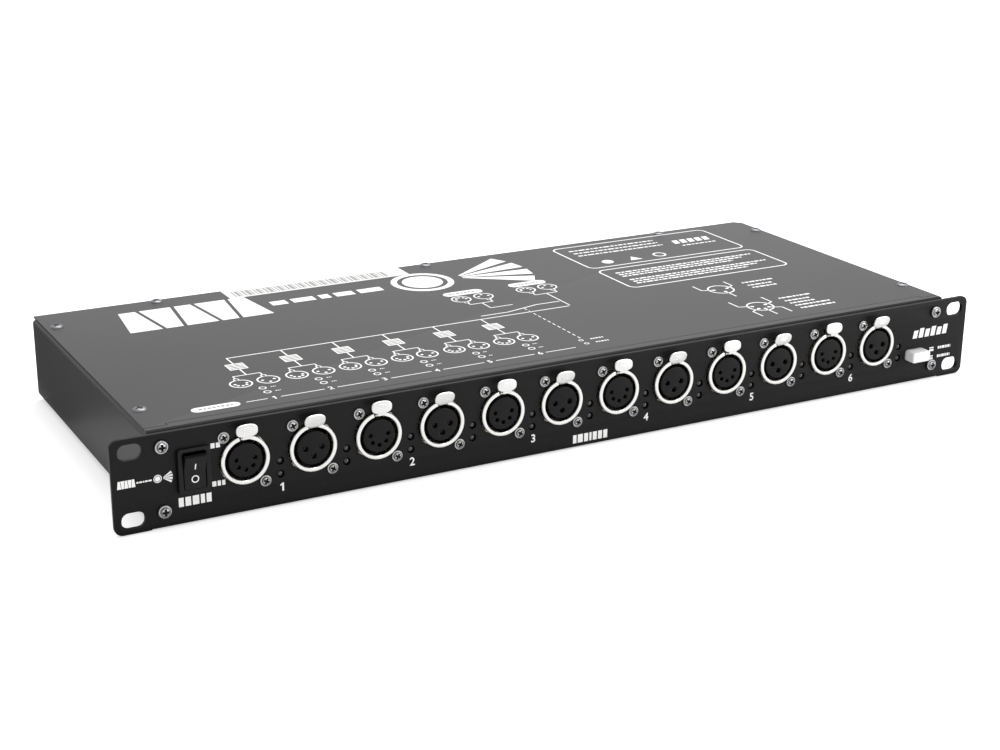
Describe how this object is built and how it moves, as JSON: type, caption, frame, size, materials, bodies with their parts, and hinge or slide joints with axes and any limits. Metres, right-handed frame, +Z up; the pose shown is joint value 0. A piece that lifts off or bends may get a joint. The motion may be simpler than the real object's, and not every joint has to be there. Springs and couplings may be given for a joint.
{
  "type": "dmx splitter",
  "caption": "Rack-mount splitter for lighting control: latching output sockets, signal lamps, power rocker and link button in front, mains inlet and input and link sockets behind.",
  "frame": {"origin": "under the middle of the outer box, on the surface that the feet stand on", "axes": "+X along the front panel to the right as seen from the front, +Y from the front panel to the back, +Z up"},
  "size_m": [0.4826, 0.2036, 0.0466],
  "materials": {
    "case_paint": "fine satin powder coat",
    "panel_paint": "fine satin powder coat",
    "zinc": "bright zinc plate",
    "nickel": "satin nickel plate",
    "black_plastic": "moulded, matt",
    "white_plastic": "moulded, satin",
    "board": "solder resist",
    "core": "varnished laminations",
    "rubber": "matt"
  },
  "bodies": {
    "chassis": {"case_tray": "case_paint", "top_cover": "case_paint", "front_panel": "panel_paint", "panel_screw_1": "zinc", "panel_screw_2": "zinc", "panel_screw_3": "zinc", "panel_screw_4": "zinc", "output_socket_01": "nickel", "output_socket_02": "nickel", "output_socket_03": "nickel", "output_socket_04": "nickel", "output_socket_05": "nickel", "output_socket_06": "nickel", "output_socket_07": "nickel", "output_socket_08": "nickel", "output_socket_09": "nickel", "output_socket_10": "nickel", "output_socket_11": "nickel", "output_socket_12": "nickel", "contact_carrier_01": "black_plastic", "contact_carrier_02": "black_plastic", "contact_carrier_03": "black_plastic", "contact_carrier_04": "black_plastic", "contact_carrier_05": "black_plastic", "contact_carrier_06": "black_plastic", "contact_carrier_07": "black_plastic", "contact_carrier_08": "black_plastic", "contact_carrier_09": "black_plastic", "contact_carrier_10": "black_plastic", "contact_carrier_11": "black_plastic", "contact_carrier_12": "black_plastic", "power_switch_frame": "black_plastic", "main_board": "board", "mains_transformer": "core", "link_socket_5pin": "nickel", "link_socket_3pin": "nickel", "input_socket_5pin": "nickel", "input_socket_3pin": "nickel", "mains_inlet": "black_plastic", "rubber_foot_1": "rubber", "rubber_foot_2": "rubber", "rubber_foot_3": "rubber", "rubber_foot_4": "rubber"},
    "latch_01": {"socket_latch_01": "nickel"},
    "latch_02": {"socket_latch_02": "nickel"},
    "latch_03": {"socket_latch_03": "nickel"},
    "latch_04": {"socket_latch_04": "nickel"},
    "latch_05": {"socket_latch_05": "nickel"},
    "latch_06": {"socket_latch_06": "nickel"},
    "latch_07": {"socket_latch_07": "nickel"},
    "latch_08": {"socket_latch_08": "nickel"},
    "latch_09": {"socket_latch_09": "nickel"},
    "latch_10": {"socket_latch_10": "nickel"},
    "latch_11": {"socket_latch_11": "nickel"},
    "latch_12": {"socket_latch_12": "nickel"},
    "back_latch_5pin": {"link_latch_5pin": "nickel"},
    "back_latch_3pin": {"link_latch_3pin": "nickel"},
    "rocker": {"power_rocker": "black_plastic"},
    "link_button": {"link_button": "white_plastic"},
    "fuse_drawer": {"fuse_drawer": "black_plastic"}
  },
  "joints": [
    {"name": "latch_01_press", "type": "hinge", "parent": "chassis", "child": "latch_01", "pos_m": [-0.1808, -0.08245, 0.03662], "axis": [-1, 0, 0], "range_deg": [0, 8], "stiffness_Nm_per_rad": 0.43, "springref_deg": -2.86},
    {"name": "latch_02_press", "type": "hinge", "parent": "chassis", "child": "latch_02", "pos_m": [-0.1482, -0.08245, 0.03662], "axis": [-1, 0, 0], "range_deg": [0, 8], "stiffness_Nm_per_rad": 0.43, "springref_deg": -2.86},
    {"name": "latch_03_press", "type": "hinge", "parent": "chassis", "child": "latch_03", "pos_m": [-0.1156, -0.08245, 0.03662], "axis": [-1, 0, 0], "range_deg": [0, 8], "stiffness_Nm_per_rad": 0.43, "springref_deg": -2.86},
    {"name": "latch_04_press", "type": "hinge", "parent": "chassis", "child": "latch_04", "pos_m": [-0.083, -0.08245, 0.03662], "axis": [-1, 0, 0], "range_deg": [0, 8], "stiffness_Nm_per_rad": 0.43, "springref_deg": -2.86},
    {"name": "latch_05_press", "type": "hinge", "parent": "chassis", "child": "latch_05", "pos_m": [-0.0504, -0.08245, 0.03662], "axis": [-1, 0, 0], "range_deg": [0, 8], "stiffness_Nm_per_rad": 0.43, "springref_deg": -2.86},
    {"name": "latch_06_press", "type": "hinge", "parent": "chassis", "child": "latch_06", "pos_m": [-0.0178, -0.08245, 0.03662], "axis": [-1, 0, 0], "range_deg": [0, 8], "stiffness_Nm_per_rad": 0.43, "springref_deg": -2.86},
    {"name": "latch_07_press", "type": "hinge", "parent": "chassis", "child": "latch_07", "pos_m": [0.0148, -0.08245, 0.03662], "axis": [-1, 0, 0], "range_deg": [0, 8], "stiffness_Nm_per_rad": 0.43, "springref_deg": -2.86},
    {"name": "latch_08_press", "type": "hinge", "parent": "chassis", "child": "latch_08", "pos_m": [0.0474, -0.08245, 0.03662], "axis": [-1, 0, 0], "range_deg": [0, 8], "stiffness_Nm_per_rad": 0.43, "springref_deg": -2.86},
    {"name": "latch_09_press", "type": "hinge", "parent": "chassis", "child": "latch_09", "pos_m": [0.08, -0.08245, 0.03662], "axis": [-1, 0, 0], "range_deg": [0, 8], "stiffness_Nm_per_rad": 0.43, "springref_deg": -2.86},
    {"name": "latch_10_press", "type": "hinge", "parent": "chassis", "child": "latch_10", "pos_m": [0.1126, -0.08245, 0.03662], "axis": [-1, 0, 0], "range_deg": [0, 8], "stiffness_Nm_per_rad": 0.43, "springref_deg": -2.86},
    {"name": "latch_11_press", "type": "hinge", "parent": "chassis", "child": "latch_11", "pos_m": [0.1452, -0.08245, 0.03662], "axis": [-1, 0, 0], "range_deg": [0, 8], "stiffness_Nm_per_rad": 0.43, "springref_deg": -2.86},
    {"name": "latch_12_press", "type": "hinge", "parent": "chassis", "child": "latch_12", "pos_m": [0.1778, -0.08245, 0.03662], "axis": [-1, 0, 0], "range_deg": [0, 8], "stiffness_Nm_per_rad": 0.43, "springref_deg": -2.86},
    {"name": "back_latch_5pin_press", "type": "hinge", "parent": "chassis", "child": "back_latch_5pin", "pos_m": [0.112, 0.08545, 0.03413], "axis": [1, 0, 0], "range_deg": [0, 8], "stiffness_Nm_per_rad": 0.43, "springref_deg": -2.86},
    {"name": "back_latch_3pin_press", "type": "hinge", "parent": "chassis", "child": "back_latch_3pin", "pos_m": [0.145, 0.08545, 0.03413], "axis": [1, 0, 0], "range_deg": [0, 8], "stiffness_Nm_per_rad": 0.43, "springref_deg": -2.86},
    {"name": "power_rock", "type": "hinge", "parent": "chassis", "child": "rocker", "pos_m": [-0.2044, -0.09485, 0.02562], "axis": [-1, 0, 0], "range_deg": [0, 21]},
    {"name": "link_press", "type": "slide", "parent": "chassis", "child": "link_button", "axis": [0, 1, 0], "range_m": [0, 0.0025], "stiffness_N_per_m": 800, "springref_m": -0.0005},
    {"name": "fuse_drawer_slide", "type": "slide", "parent": "chassis", "child": "fuse_drawer", "axis": [0, 1, 0], "range_m": [0, 0.017]}
  ]
}
